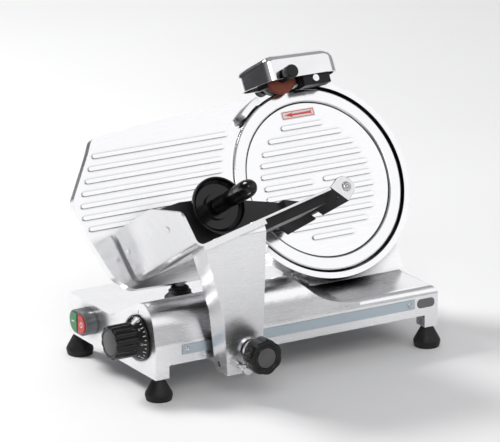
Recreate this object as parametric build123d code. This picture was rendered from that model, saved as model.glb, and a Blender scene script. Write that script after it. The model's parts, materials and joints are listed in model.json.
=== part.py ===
from build123d import *
from math import acos, atan2, cos, degrees, hypot, pi, radians, sin
import os

os.makedirs("parts", exist_ok=True)

# ------------------------------------------------------------ driving dimensions, mm
BLADE_R = 125.0              # 250 mm (10 in) blade
COVER_R = 104.4
TILT = 30.0                  # blade leans back from the vertical
BLADE_X, BLADE_Y, BLADE_Z = 325.3, 135.0, 210.4
GUARD_R, GUARD_W = 135.0, 0.8 # outside and front level of the ring guard round the blade
FACE_W, RIB_W = -2.6, -0.2   # faces of the gauge plate and blade cover, and their rib tops

BASE_L = 425.6
BASE_W = 228.0
LEG_Z = 29.0                 # underside of the corner legs
SKIRT_Z = 46.0               # underside of the front skirt between the legs
TOP_Z = 84.0                 # flat top of the base
WALL = 4.0
PLATE_POSTS = ((40.0, 130.0), (40.0, 214.0), (280.0, 130.0), (280.0, 218.0))

TRAY_ROLL = 12.0             # the carriage tray rises to the right
TRAY_L = 213.0
TRAY_IN, TRAY_OUT = 4.0, 180.0
SHEET = 3.0

ROD_Y, ROD_Z, ROD_R = 58.0, 60.0, 8.0      # carriage slide rod
RUN = 0.05                                 # radial running clearance
ARM_X, ARM_KNOB_Z = 113.0, 65.0            # centre of the arm lock knob
PIVOT_Y, PIVOT_Z = -22.0, 44.0             # arm tilt pivot

PUSH_X, PUSH_M = 235.0, -7.0               # pusher guide rod in tray axes
PUSH_R = 5.0
DISC_X, DISC_M, DISC_W = 107.0, 42.0, 77.0

DIAL_Y, DIAL_Z = 43.2, 74.3
GAUGE_TRAVEL = 13.0
DIAL_TURN = 330.0
GAUGE_X, GAUGE_Y, GAUGE_Z = 93.0, 99.0, 72.0

PULLEY_R, MOTOR_PULLEY_R = 34.0, 12.0
MOTOR_X, MOTOR_M = 45.0, -72.0             # motor axis in blade axes

STONE_X, STONE_M, STONE_R = -23.0, 139.0, 21.0
POST_X, POST_W = 30.0, -21.0               # sharpener guide post

CENTRE_X, CENTRE_Y = 208.6, 82.3           # middle of the whole machine on the floor

# ------------------------------------------------------------ frames
S30, C30 = sin(radians(TILT)), cos(radians(TILT))
N = Vector(0, -C30, S30)                   # out of the blade, towards the operator
M = Vector(0, S30, C30)                    # up the blade plane
X = Vector(1, 0, 0)
BLADE = Plane(origin=(BLADE_X, BLADE_Y, BLADE_Z), x_dir=X, z_dir=N)
CROWN = Plane(origin=(BLADE_X, BLADE_Y, BLADE_Z), x_dir=X, z_dir=M)
TRAY_DIR = X * cos(radians(TRAY_ROLL)) + M * sin(radians(TRAY_ROLL))
TRAY = Plane(origin=(24.0, 89.6, 131.9), x_dir=TRAY_DIR, z_dir=N)
LOW = (Align.MIN, Align.MIN, Align.MIN)
UP = (Align.CENTER, Align.CENTER, Align.MIN)


# ------------------------------------------------------------ helpers
def save(name, shape):
    export_step(Pos(-CENTRE_X, -CENTRE_Y, 0) * shape, f"parts/{name}.step")


def box(x0, x1, y0, y1, z0, z1):
    return Pos(x0, y0, z0) * Box(x1 - x0, y1 - y0, z1 - z0, align=LOW)


def disc(r, z0, z1, x=0.0, y=0.0):
    return Pos(x, y, z0) * Cylinder(r, z1 - z0, align=UP)


def ring(outer, inner, z0, z1, x=0.0, y=0.0):
    return disc(outer, z0, z1, x, y) - disc(inner, z0 - 1, z1 + 1, x, y)


def along_x(r, x0, x1, y, z):
    return Pos(x0, y, z) * Rot(0, 90, 0) * Cylinder(r, x1 - x0, align=UP)


def along_y(r, y0, y1, x, z):
    return Pos(x, y0, z) * Rot(-90, 0, 0) * Cylinder(r, y1 - y0, align=UP)


def outline(points, radii=None):
    face = make_face(Polyline(*points, close=True))
    if radii is None:
        return face
    for point, radius in zip(points, radii):
        if radius > 0:
            corner = face.vertices().sort_by_distance(Vector(*point))[0]
            face = fillet(corner, radius)
    return face


def slab(points, z0, z1, radii=None):
    return Pos(0, 0, z0) * extrude(outline(points, radii), z1 - z0)


def slot(x0, x1, y, half, z0, z1):
    bar = box(x0 + half, x1 - half, y - half, y + half, z0, z1)
    return bar + disc(half, z0, z1, x0 + half, y) + disc(half, z0, z1, x1 - half, y)


def turned(points, plane=Plane.XZ):
    return revolve(plane * make_face(Polyline(*points, close=True)), Axis.Z, 360)


def tangent_loop(x1, y1, r1, x2, y2, r2):
    span = hypot(x2 - x1, y2 - y1)
    aim = degrees(atan2(y2 - y1, x2 - x1))
    lean = degrees(acos((r1 - r2) / span))
    corners = []
    for cx, cy, r, a in ((x1, y1, r1, aim + lean), (x2, y2, r2, aim + lean),
                         (x2, y2, r2, aim - lean), (x1, y1, r1, aim - lean)):
        corners.append((cx + r * cos(radians(a)), cy + r * sin(radians(a))))
    return make_face(Polyline(*corners, close=True)) + Pos(x1, y1) * Circle(r1) + Pos(x2, y2) * Circle(r2)


# ------------------------------------------------------------ base
def bulge_face():
    nose = Spline((0, 66), (2.4, 84), (5.5, 98), (12, 112), (22, 119.8), (33, 122.4), (44, 120),
                  tangents=((0, 1), (1.93, -1)))
    edges = [Line((0, LEG_Z), (0, 66)), nose, Line((44, 120), (113.6, TOP_Z)),
             Line((113.6, TOP_Z), (BASE_W, TOP_Z)), Line((BASE_W, TOP_Z), (BASE_W, LEG_Z)),
             Line((BASE_W, LEG_Z), (0, LEG_Z))]
    face = make_face(edges)
    valley = face.vertices().sort_by_distance(Vector(113.6, TOP_Z))[0]
    return fillet(valley, 22)


def bulge_end(inset):
    run = Spline((206 - inset, 130), (222 - inset, 118), (246 - inset, 98), (276 - inset, 86), (306, 82),
                 tangents=((1, -0.9), (1, -0.08)))
    edges = [run, Line((306, 82), (306, 20)), Line((306, 20), (-1, 20)), Line((-1, 20), (-1, 130)),
             Line((-1, 130), (206 - inset, 130))]
    return extrude(Plane.XZ * make_face(edges), -BASE_W - 10)


def low_body(d):
    front = [(d, LEG_Z), (d, TOP_Z - d), (BASE_W - d, TOP_Z - d), (BASE_W - d, LEG_Z)]
    body = extrude(Plane.YZ * outline(front, [0, 12 - d, 7 - d, 0]), BASE_L)
    side = [(d, 0), (d, TOP_Z - d), (BASE_L - d, TOP_Z - d), (BASE_L - d, 0)]
    return body & extrude(Plane.XZ * outline(side, [0, 0, 10 - d, 0]), -BASE_W)


def base_outer():
    tall = extrude(Plane.YZ * bulge_face(), 306)
    return low_body(0) + (tall & bulge_end(0))


def bulge_hollow():
    nose = Spline((WALL, 66), (6.4, 84), (9.3, 97), (15, 109), (23.5, 115.8), (33, 118.4), (43, 116.2),
                  tangents=((0, 1), (1.93, -1)))
    edges = [Line((WALL, 50), (WALL, 66)), nose, Line((43, 116.2), (112.6, TOP_Z - 4.3)),
             Line((112.6, TOP_Z - 4.3), (112.6, 50)), Line((112.6, 50), (WALL, 50))]
    tall = extrude(Plane.YZ * make_face(edges), 306)
    return (tall & bulge_end(WALL)) - box(-1, WALL, 0, BASE_W, 0, 130)


def base_housing():
    body = base_outer() - bulge_hollow() - low_body(WALL)
    body -= box(WALL, BASE_L - WALL, WALL, BASE_W - WALL, LEG_Z - 5, LEG_Z + 12)
    for x in (10.0, BASE_L - 10.0):
        for y in (10.0, BASE_W - 10.0):
            body += box(max(x - 10, 1), min(x + 10, BASE_L - 1), max(y - 10, 1), min(y + 10, BASE_W - 1),
                        LEG_Z, 60)
            body -= disc(3.0, LEG_Z - 1, 52, x, y)
    body -= box(20, BASE_L - 20, -1, WALL + 1, LEG_Z - 1, SKIRT_Z)
    body += box(24, 32, 2, 74, SKIRT_Z, 125) & base_outer()
    body += box(BASE_L - 16, BASE_L - 2, ROD_Y - 14, ROD_Y + 14, 44, 76)
    for x0, x1 in ((2, 16), (BASE_L - 16, BASE_L - 2)):
        body += box(x0, x1, 76, 92, 34, 50)
    body -= along_x(ROD_R, 24, BASE_L - 8, ROD_Y, ROD_Z)
    body -= box(8, BASE_L - 8, 80, 88, 36, 44)
    body -= along_x(6 + RUN, -1, 20, DIAL_Y, DIAL_Z)
    body -= along_x(29, WALL, 24, DIAL_Y, DIAL_Z)
    body -= box(-1, WALL + 1, 158, 187, 50, 70)
    body += box(85, 101, 77, 84, 63, 98)
    body += box(85, 101, 216, BASE_W - 2, 63, TOP_Z - 2)
    body -= along_y(6, 77, 223, GAUGE_X, GAUGE_Z)
    body -= box(86, 100, 91, 120, 80, 130)
    body -= box(292, 412, 96, 212, TOP_Z - 10, TOP_Z + 1)
    for x, y in PLATE_POSTS:
        body += disc(6, 31.5, TOP_Z - 2, x, y)
        body -= disc(1.6, 30, 50, x, y)
    for x in (46.0, 382.0):
        body -= along_y(2, -1, 6, x, 63.8)
    body -= along_y(8, BASE_W - 6, BASE_W + 1, 62, 58)
    return body


def base_plate():
    plate = box(22, BASE_L - 22, 100, BASE_W - 5, 29.5, 31.5)
    for x, y in PLATE_POSTS:
        plate -= disc(1.9, 29, 32, x, y)
    for i in range(8):
        plate -= slot(255, 345, 142 + 8 * i, 1.8, 29, 32)
    return plate


def foot_places():
    return [(10.0, 10.0), (BASE_L - 10.0, 10.0), (10.0, BASE_W - 10.0), (BASE_L - 10.0, BASE_W - 10.0)]


def feet():
    shape = turned([(3.2, 9), (3.2, 29), (7, 29), (17.5, 9.5), (18, 7), (16.5, 0), (9, 0), (9, 9)])
    return Part() + [Pos(x, y, 0) * shape for x, y in foot_places()]


def base_screws():
    shape = disc(7.5, 4.5, 9) + disc(2.9, 8.9, 50)
    screws = Part() + [Pos(x, y, 0) * shape for x, y in foot_places()]
    for x, y in PLATE_POSTS:
        screws += disc(3.6, 27.5, 29.5, x, y) + disc(1.5, 29.4, 46, x, y)
    for x in (46.0, 382.0):
        screws += along_y(3.6, -2.2, -0.8, x, 63.8) + along_y(1.9, -0.9, 9, x, 63.8)
    return screws


def front_strip():
    strip = box(38.8, 389.7, -0.8, 0, 57.4, 70.3)
    for x in (46.0, 382.0):
        strip -= along_y(2, -1, 1, x, 63.8)
    return strip


def badge():
    plate = outline([(394, 57), (420, 57), (420, 69), (394, 69)], [5, 5, 5, 5])
    return extrude(Plane.XZ * plate, 0.9)


def cord_gland():
    body = along_y(8, BASE_W - 8, BASE_W, 62, 58) + along_y(11, BASE_W, BASE_W + 5, 62, 58)
    body += along_y(8.5, BASE_W + 5, BASE_W + 14, 62, 58) + along_y(11, BASE_W - 9, BASE_W - WALL, 62, 58)
    return body - along_y(4, BASE_W - 12, BASE_W + 16, 62, 58)


def control_box():
    shell = box(150, 232, 136, 200, 31.5, 74)
    return fillet(shell.edges().filter_by(Axis.Z), 5)


# ------------------------------------------------------------ switch
def stadium(length, height, x0, x1):
    face = SlotOverall(length, height)
    return extrude(Plane.YZ.offset(x0) * Pos(172.6, 59.9) * face, x1 - x0)


def switch_housing():
    body = stadium(46, 31, -17, 0) + box(0, 22, 159, 186, 51, 69)
    pocket = stadium(40.5, 25.5, -20, -4)
    divider = box(-17, -3, 171.2, 174.0, 40, 80)
    return body - (pocket - divider)


def switch_button(far_side):
    body = stadium(39.7, 24.7, -18.5, -7.5)
    if far_side:
        return body & box(-30, 0, 174.4, 220, 30, 90)
    return body & box(-30, 0, 120, 170.8, 30, 90)


# ------------------------------------------------------------ thickness dial and gauge
def dial_knob():
    shape = turned([(0, 0.6), (30, 0.6), (30, 4), (22.4, 12), (22.0, 41), (20.2, 43), (0, 43)])
    for i in range(12):
        a = radians(30 * i)
        shape -= disc(3.2, 14, 45, 24.2 * cos(a), 24.2 * sin(a))
    shape -= disc(6, 0, 24)
    return Pos(0, DIAL_Y, DIAL_Z) * Rot(0, -90, 0) * shape


def spiral_points(shift):
    pts = []
    for i in range(45):
        back = DIAL_TURN * i / 44
        r = 10.0 + GAUGE_TRAVEL * i / 44 + shift
        pts.append((r * cos(radians(-back)), r * sin(radians(-back))))
    return pts


def dial_cam():
    body = along_x(28, 9, 18, DIAL_Y, DIAL_Z) + along_x(6, -24, 9, DIAL_Y, DIAL_Z)
    inner = spiral_points(-3.1)
    outer = spiral_points(3.1)
    track = make_face([Spline(*inner), Line(inner[-1], outer[-1]), Spline(*reversed(outer)),
                       Line(outer[0], inner[0])])
    track += Pos(10, 0) * Circle(3.1)
    end = radians(-DIAL_TURN)
    track += Pos((10 + GAUGE_TRAVEL) * cos(end), (10 + GAUGE_TRAVEL) * sin(end)) * Circle(3.1)
    groove = extrude(Plane.YZ.offset(13) * Pos(DIAL_Y, DIAL_Z) * track, 10)
    return body - groove


def gauge_slider():
    body = box(80, 106, 89, 109, 63, 79) - along_y(6 + RUN, 80, 120, GAUGE_X, GAUGE_Z)
    body += box(19.5, 82, 92, 98, 74.5, 79)
    body += box(19.5, 22.5, 49, 98, 74.5, 79)
    body += box(19.5, 22.5, 49, 57.4, 70, 79)
    body += along_x(2.5, 14, 20, DIAL_Y + 10, DIAL_Z)
    return body + disc(6, 78, 131, GAUGE_X, GAUGE_Y)


def gauge_rod():
    return along_y(6, 77, 223, GAUGE_X, GAUGE_Z)


def gauge_boot():
    shape = turned([(6.2, 78), (20, 78), (20, 98), (14, 104), (15, 106.5), (11, 109), (12, 111), (9, 113.5),
                    (6.2, 113.5)])
    shape = Pos(GAUGE_X, GAUGE_Y, 0) * shape
    return shape - Pos(0, 0, 0.7) * base_outer()


def gauge_outline():
    points = [(-321, 84), (-309, 105), (-202, 113.5), (-72, 122), (-72, -40), (-86, -100), (-241, -101),
              (-309, -99), (-331, -77), (-349, -26), (-361, 12), (-357, 30)]
    radii = [20, 14, 0, 0, 0, 0, 0, 22, 20, 20, 14, 12]
    return outline(points, radii)


def gauge_plate():
    rim = extrude(gauge_outline(), 12.4) - extrude(offset(gauge_outline(), -3), 12.4)
    rim = Pos(0, 0, FACE_W - 12.4) * (rim - box(-175, 0, -200, 200, -1, 14))
    body = Pos(0, 0, FACE_W - 4) * extrude(gauge_outline(), 4) + rim
    for i in range(7):
        y = 80 - 15.5 * i
        right = -(max(140.0 ** 2 - y ** 2, 0)) ** 0.5
        left = [-316, -326, -335, -344, -350, -352, -347][i]
        body += slot(left, right, y, 2.6, FACE_W - 0.1, RIB_W)
    body -= disc(BLADE_R + 3.5, -30, 10)
    body -= disc(GUARD_R + 6, -30, 10) & box(-200, 0, 88, 200, -30, 10)
    body -= disc(GUARD_R + 6, -30, 10) & box(-200, 0, -200, -64, -30, 10)
    return BLADE * body - disc(6, 60, 131, GAUGE_X, GAUGE_Y)


def gauge_bracket():
    body = box(-262, -202, -94, -30, -15, FACE_W - 4) + box(-250, -214, -96, -68, -26, FACE_W - 4)
    body = BLADE * (body - box(-245, -219, -62, -40, -15, -10))
    return body - disc(6, 60, 131, GAUGE_X, GAUGE_Y)


# ------------------------------------------------------------ blade group
def blade():
    section = [(5.4, -13), (5.4, -9), (99, -9), (105.2, -7.2), (106.2, -0.6), (108, 0), (121, -0.4),
               (BLADE_R, -2.2), (121, -4.8), (112, -6.4), (103, -11.2), (97, -13)]
    body = turned(section)
    for i in range(3):
        a = radians(90 + 120 * i)
        body -= disc(2.6, -14, -8, 21 * cos(a), 21 * sin(a))
    return BLADE * body


def blade_screws():
    screws = Part()
    for i in range(3):
        a = radians(90 + 120 * i)
        px, py = 21 * cos(a), 21 * sin(a)
        screws += disc(4.4, -9, -7.6, px, py) + disc(2.5, -16, -8.9, px, py)
    return BLADE * screws


def blade_shaft():
    body = disc(28, -16.6, -13) + disc(12, -68, -16.5)
    for i in range(3):
        a = radians(90 + 120 * i)
        body -= disc(2.5, -18, -12, 21 * cos(a), 21 * sin(a))
    return BLADE * (body - disc(5.4, -80, -10))


def grooved_pulley(radius, bore, z0, z1, x=0.0, y=0.0):
    shape = ring(radius, bore, z0, z1, x, y)
    shape += ring(radius + 1.6, bore, z0, z0 + 1.2, x, y) + ring(radius + 1.6, bore, z1 - 1.2, z1, x, y)
    return shape


def driven_pulley():
    body = grooved_pulley(PULLEY_R, 12, -62, -46)
    body -= ring(29, 18, -58, -40)
    for i in range(6):
        a = radians(60 * i)
        body -= disc(4, -64, -40, 23.5 * cos(a), 23.5 * sin(a))
    return BLADE * body


def drive_belt():
    gap = 0.35
    outer = tangent_loop(0, 0, PULLEY_R + gap + 2.4, MOTOR_X, MOTOR_M, MOTOR_PULLEY_R + gap + 2.4)
    inner = tangent_loop(0, 0, PULLEY_R + gap, MOTOR_X, MOTOR_M, MOTOR_PULLEY_R + gap)
    return BLADE * Pos(0, 0, -60.2) * extrude(outer - inner, 12.4)


def blade_bearings():
    return BLADE * (ring(19, 12 + RUN, -25, -18) + ring(19, 12 + RUN, -42, -35))


def column_outline():
    points = [(-46, -165), (-46, 26), (-20, 58), (62, 58), (100, 12), (100, -165)]
    return outline(points, [0, 30, 24, 24, 30, 0])


def guard_ring():
    rim = ring(GUARD_R, BLADE_R + 2.2, -19, GUARD_W)
    rim += ring(GUARD_R, BLADE_R - 9, -19, -17)
    cut = Polyline((0, 0), (-170, 199), (-300, 0), (-260, -212), close=True)
    rim -= Pos(0, 0, -30) * extrude(make_face(cut), 60)
    rim += ring(GUARD_R, BLADE_R + 2.2, -19, GUARD_W) & box(-103, -94, -95, -78, -40, 10)
    return rim - box(-57, 6, 90, 150, -20, 10)


def blade_support():
    body = guard_ring()
    web = disc(GUARD_R, -22, -17)
    body += (web & box(-46, 140, -140, 128, -30, 0)) - box(-57, 6, 112, 150, -30, 0)
    body += web & box(-92, -40, 88, 114, -30, 0)
    body += Pos(0, 0, -75) * extrude(column_outline(), 57)
    cavity = offset(column_outline(), -5)
    body -= Pos(0, 0, -70) * extrude(cavity, 46)
    body += disc(25, -44, -17)
    body -= disc(19, -60, -17.4)
    body -= disc(14, -20, -10)
    body -= disc(5.4, -90, -60)
    body -= disc(8, -90, -60, MOTOR_X, MOTOR_M)
    body += box(20, 40, 84, 122, -34, -19)
    body -= Pos(POST_X, 80, POST_W) * Rot(-90, 0, 0) * Cylinder(5 + RUN, 60, align=UP)
    body -= disc(3 + RUN, -40, POST_W, POST_X, 104)
    body = BLADE * body
    return body - box(150, 500, -50, 400, 0, TOP_Z) - base_outer()


def motor_cover():
    shell = slab([(-8, -150), (-8, -30), (98, -30), (98, -150)], -134, -75, [0, 34, 34, 0])
    shell = fillet(shell.faces().sort_by(Axis.Z)[0].edges(), 9)
    inner = slab([(-4, -160), (-4, -34), (94, -34), (94, -160)], -130, -70, [0, 30, 30, 0])
    shell -= inner
    for i in range(6):
        shell -= slot(10, 80, -48 - 9 * i, 1.8, -140, -125)
    return BLADE * shell - box(150, 500, -50, 400, 0, TOP_Z)


def motor_body():
    body = disc(38, -124, -80, MOTOR_X, MOTOR_M)
    body = fillet(body.edges().filter_by(GeomType.CIRCLE), 5)
    body += disc(30, -80, -75.2, MOTOR_X, MOTOR_M) + disc(16, -128, -123, MOTOR_X, MOTOR_M)
    for i in range(16):
        a = radians(22.5 * i + 11)
        body -= disc(2.2, -119, -85, MOTOR_X + 38.4 * cos(a), MOTOR_M + 38.4 * sin(a))
    return BLADE * (body - disc(5 + RUN, -140, -60, MOTOR_X, MOTOR_M))


def motor_rotor():
    shaft = disc(5, -127, -44, MOTOR_X, MOTOR_M)
    return BLADE * (shaft + grooved_pulley(MOTOR_PULLEY_R, 4, -62, -46, MOTOR_X, MOTOR_M))


COVER_RIBS = [(-34, 29, 74.3), (-58, 54, 59.5), (-72, 67.5, 43.8), (-79, 75, 29), (-82.5, 80, 14),
              (-82, -8, -2), (8, 81, -1), (-83, 81, -16.5), (-80, 77, -31), (-74, 71, -46),
              (-58, 58, -61), (-31, 33, -76)]


def blade_cover():
    body = disc(COVER_R, FACE_W - 3, FACE_W)
    for x0, x1, y in COVER_RIBS:
        body += slot(x0, x1, y, 2.9, FACE_W - 0.1, RIB_W)
    body += disc(12, -7.2, -5)
    return BLADE * (body - disc(4 + RUN, -8, FACE_W - 1.4))


def arrow_label():
    plate = outline([(-28, 85.4), (22, 85.4), (22, 96.6), (-28, 96.6)], [1, 1, 1, 1])
    return BLADE * Pos(0, 0, FACE_W) * extrude(plate, 0.3)


def cover_tie_rod():
    return BLADE * disc(4, -98, FACE_W - 1.8)


def lobed(radius, count, cut, z0, z1):
    body = disc(radius, z0, z1)
    for i in range(count):
        a = radians(360 * i / count)
        reach = radius + cut * 0.55
        body -= disc(cut, z0 - 1, z1 + 1, reach * cos(a), reach * sin(a))
    return body


def cover_knob():
    body = lobed(21, 7, 6, -96, -82) + disc(10, -82, -76)
    return BLADE * (body - disc(4, -120, -60))


def slice_deflector():
    arc = ThreePointArc((-47, -20), (-60, -24), (-74, -44))
    back = ThreePointArc((-75.4, -43.2), (-61, -22.6), (-47, -18.4))
    face = make_face([arc, Line((-74, -44), (-75.4, -43.2)), back, Line((-47, -18.4), (-47, -20))])
    sheet = extrude(Plane.XZ * face, -110)
    foot = box(-47, -46, 0, 110, -34, -18.4)
    return BLADE * Pos(0, -74, 0) * (sheet + foot)


# ------------------------------------------------------------ sharpener
def hood_plan(d):
    return outline([(56 - d, -30 + d), (-46 + d * 0.6, -30 + d), (-75 + d * 1.2, 30 - d), (62 - d, 30 - d)],
                   [14 - d, 13 - d, 14 - d, 14 - d])


def hood_side(d, low):
    points = [(-80 + d, low), (-80 + d, 142 - 0.4 * d), (-60 + 0.4 * d, 162 - d), (-38, 168 - d),
              (46 - 0.4 * d, 165.5 - d), (64 - d, 146 - 0.4 * d), (65 - d, low)]
    return outline(points, [0, 16, 20, 12, 22, 14, 0])


def hood_solid(d, low, soft):
    body = Pos(0, 0, 120) * extrude(hood_plan(d), 60)
    body &= extrude(Plane.XZ * hood_side(d, low), 80, both=True)
    top = body.edges().filter_by(lambda e: e.center().Z > 150 and abs(abs(e.center().Y) - 30 + d) < 1)
    return fillet(top, soft)


def sharpener_hood():
    shell = hood_solid(0, 134, 8) - hood_solid(3, 120, 6)
    return CROWN * shell - BLADE * disc(7.5, -60, 60, STONE_X, STONE_M)


def sharpener_body():
    cx, cy = STONE_X, STONE_M
    body = box(-64, 50, 137, 150, 17, 25) + box(-64, 50, 137, 150, -26, -18)
    body += box(-57, 45, 148, 155, -26, 25)
    body -= box(cx - 24, cx + 24, 130, 170, -17, 17)
    body += box(3, 43, 121, 139, 8, 25) + box(-70, -48, 128, 139, 4, 25) + box(-66, -49, 137, 150, -20, 20)
    body += disc(8, -26, -18, cx, cy) + disc(8, 17, 25, cx, cy)
    body -= disc(4 + RUN, -30, 30, cx, cy)
    body += box(POST_X - 11, POST_X + 11, 137, 155, -26, -12)
    body -= Pos(POST_X, 120, POST_W) * Rot(-90, 0, 0) * Cylinder(5, 28, align=UP)
    body -= disc(3, 20, 30, 21, 129)
    return BLADE * body & CROWN * Pos(0, 0, 100) * extrude(hood_plan(3.6), 80)


def sharpener_pins():
    screw = disc(4.6, 25, 27.2, 21, 129) - box(16, 26, 128.4, 129.6, 26.4, 30)
    screw += disc(2.9, 21, 25.1, 21, 129)
    return BLADE * (screw + Pos(POST_X, 88, POST_W) * Rot(-90, 0, 0) * Cylinder(5, 60, align=UP))


def sharpener_lock():
    shape = lobed(12, 6, 4.2, -56, -44) + disc(3, -44.5, -26.6) + disc(6.5, -44, -36)
    return BLADE * Pos(POST_X, 104, 0) * shape


def stone(front):
    if front:
        return BLADE * ring(STONE_R, 4 + RUN, 6, 14, STONE_X, STONE_M)
    return BLADE * ring(17, 4 + RUN, -15.5, -9, STONE_X, STONE_M)


def stone_shaft(front):
    if front:
        body = disc(4, 5, 38, STONE_X, STONE_M) + disc(6.5, 3.8, 5.6, STONE_X, STONE_M)
        return body + disc(5.6, 14.4, 15.6, STONE_X, STONE_M)
    body = disc(4, -38, -8.6, STONE_X, STONE_M) + disc(6.5, -8.6, -7.4, STONE_X, STONE_M)
    return body + disc(5.6, -17, -15.9, STONE_X, STONE_M)


def stone_button(front):
    z0, z1 = (35, 48) if front else (-48, -35)
    body = disc(9, z0, z1, STONE_X, STONE_M)
    for i in range(14):
        a = radians(360 * i / 14)
        body -= disc(1.0, z0 + 2, z1 + 2, STONE_X + 9.2 * cos(a), STONE_M + 9.2 * sin(a))
    return BLADE * (body + stone_shaft(front))


# ------------------------------------------------------------ carriage
def carriage_rod():
    return along_x(ROD_R, 24, BASE_L - 8, ROD_Y, ROD_Z)


def guide_bar():
    return box(8, BASE_L - 8, 80, 88, 36, 44)


def rod_buffers():
    left = along_x(11, 32, 35, ROD_Y, ROD_Z)
    right = along_x(11, BASE_L - 22, BASE_L - 16, ROD_Y, ROD_Z)
    return left + right - along_x(ROD_R, 0, BASE_L, ROD_Y, ROD_Z)


def carriage_block():
    body = box(69, 145, 44, 72, 33, 74)
    body -= box(60, 150, 43, 51, 66, 80) + box(60, 150, 65, 75, 66, 80)
    body += box(93, 121, PIVOT_Y, 50, 33, 43)
    body += box(98, 116, 71, 79, 44, 58)
    body += along_x(11, 93, 121, PIVOT_Y, PIVOT_Z)
    body += box(93, 121, PIVOT_Y - 11, PIVOT_Y + 9, PIVOT_Z, 82)
    body -= along_x(4 + RUN, 60, 150, PIVOT_Y, PIVOT_Z)
    body += along_y(3, 72, 89, 107, 51.4) + along_y(5, 88, 90, 107, 51.4)
    return body - along_x(ROD_R + RUN, 60, 150, ROD_Y, ROD_Z)


def guide_roller():
    return along_y(7, 79.4, 87.6, 107, 51.4) - along_y(3 + RUN, 70, 90, 107, 51.4)


def arm_face(d):
    points = [(81.5 + d, 33), (72 + d, 114), (38 + d, 218), (38 + d, 262), (127 - d, 262), (127 - d, 236),
              (131 - d, 115), (133 - d, 33)]
    return outline(points)


def arm_side(d):
    return outline([(-41 + d, 20), (-41 + d, 33), (-60.5 + d, 223), (-60.5 + d, 262), (-16.5, 262),
                    (-16.5, 205), (-11, 114), (-10.4, 20)])


def above_table(level):
    return TRAY * box(-250, 450, level, 250, -150, 350)


def carriage_arm():
    body = extrude(Plane.XZ * arm_face(0), 80) & extrude(Plane.YZ * arm_side(0), 200)
    room = extrude(Plane.XZ * arm_face(5), 80, both=True)
    inside = outline([(-36, 0), (-36, 33), (-55.5, 223), (-55.5, 262), (40, 262), (40, 0)])
    room &= extrude(Plane.YZ * inside, 200)
    room -= above_table(-SHEET - 7)
    body -= room
    body -= box(86.5, 128, -36, 0, 0, 60)
    body -= above_table(-SHEET)
    body -= TRAY * box(-50, 300, -40, 0, 176.6, 300)
    body -= along_y(5 + RUN, -90, -20, ARM_X, ARM_KNOB_Z)
    body -= along_y(3.4, -64, -34, 99, 45)
    return body - along_x(4, 60, 150, PIVOT_Y, PIVOT_Z)


def arm_pins():
    stop = along_y(3.4, -60, -37, 99, 45) + along_y(6.5, -64, -56, 99, 45)
    return stop + along_x(4, 83, 132, PIVOT_Y, PIVOT_Z)


def arm_knob():
    body = Rot(90, 0, 0) * lobed(23.5, 7, 6.5, 0, 21)
    body = fillet(body.faces().sort_by(Axis.Y)[0].edges(), 1.5)
    body -= Rot(90, 0, 0) * ring(17, 13.4, 20, 30)
    return Pos(ARM_X, -65, ARM_KNOB_Z) * body - along_y(5, -75, -60, ARM_X, ARM_KNOB_Z)


def arm_knob_stem():
    stem = along_y(5, -74, -33.4, ARM_X, ARM_KNOB_Z) + along_y(9.5, -64.8, -52, ARM_X, ARM_KNOB_Z)
    return stem + along_y(13, -52, -47, ARM_X, ARM_KNOB_Z)


def arm_bearer():
    body = box(60, 205, -15, -SHEET, 96, 168)
    body -= box(66, 199, -12, -SHEET - 3.2, 102, 162)
    body = TRAY * body
    keep = extrude(Plane.XZ * arm_face(-0.2), 200, both=True)
    return body - keep


def tray():
    length = TRAY_OUT - TRAY_IN
    section = [Line((0, 74), (0, 9)), ThreePointArc((0, 9), (3.515, 0.515), (12, -SHEET)),
               Line((12, -SHEET), (TRAY_L, -SHEET)), Line((TRAY_L, -SHEET), (TRAY_L, 0)),
               Line((TRAY_L, 0), (12, 0)), ThreePointArc((12, 0), (5.636, 2.636), (SHEET, 9)),
               Line((SHEET, 9), (SHEET, 74)), Line((SHEET, 74), (0, 74))]
    body = Pos(0, 0, TRAY_IN) * extrude(make_face(section), length)
    wall = outline([(-10, TRAY_IN), (69, TRAY_IN), (71.5, 112), (47, TRAY_OUT), (-10, TRAY_OUT)],
                   [0, 7, 24, 11, 0])
    body &= Pos(-5, 0, 0) * extrude(Plane.YZ * wall, 400)
    body += box(9, 106, -9, -SHEET + 0.5, TRAY_OUT - SHEET, TRAY_OUT)
    for w, m in ((131, 37.5), (17, 38.5)):
        body -= Pos(-1, m, w) * Rot(0, 90, 0) * Cylinder(2, 6, align=UP)
    for x, w in ((36, 132), (96, 132), (36, 164), (96, 164)):
        body -= Pos(x, -5, w) * Rot(-90, 0, 0) * Cylinder(2.6, 8, align=UP)
    return TRAY * body


def tray_fixings():
    screws = Part()
    for w, m in ((131, 37.5), (17, 38.5)):
        screws += Pos(-1.3, m, w) * Rot(0, 90, 0) * Cylinder(3.8, 1.3, align=UP)
        screws += Pos(-0.2, m, w) * Rot(0, 90, 0) * Cylinder(1.95, 3.6, align=UP)
    for x, w in ((36, 132), (96, 132), (36, 164), (96, 164)):
        screws += Pos(x, 0, w) * Rot(-90, 0, 0) * Cylinder(4.6, 1.4, align=UP)
        screws += Pos(x, -SHEET, w) * Rot(-90, 0, 0) * Cylinder(2.5, SHEET + 0.2, align=UP)
    screws += disc(6.2, 180, 183, PUSH_X, PUSH_M) - disc(2.4, 181.6, 186, PUSH_X, PUSH_M)
    return TRAY * screws


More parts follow.
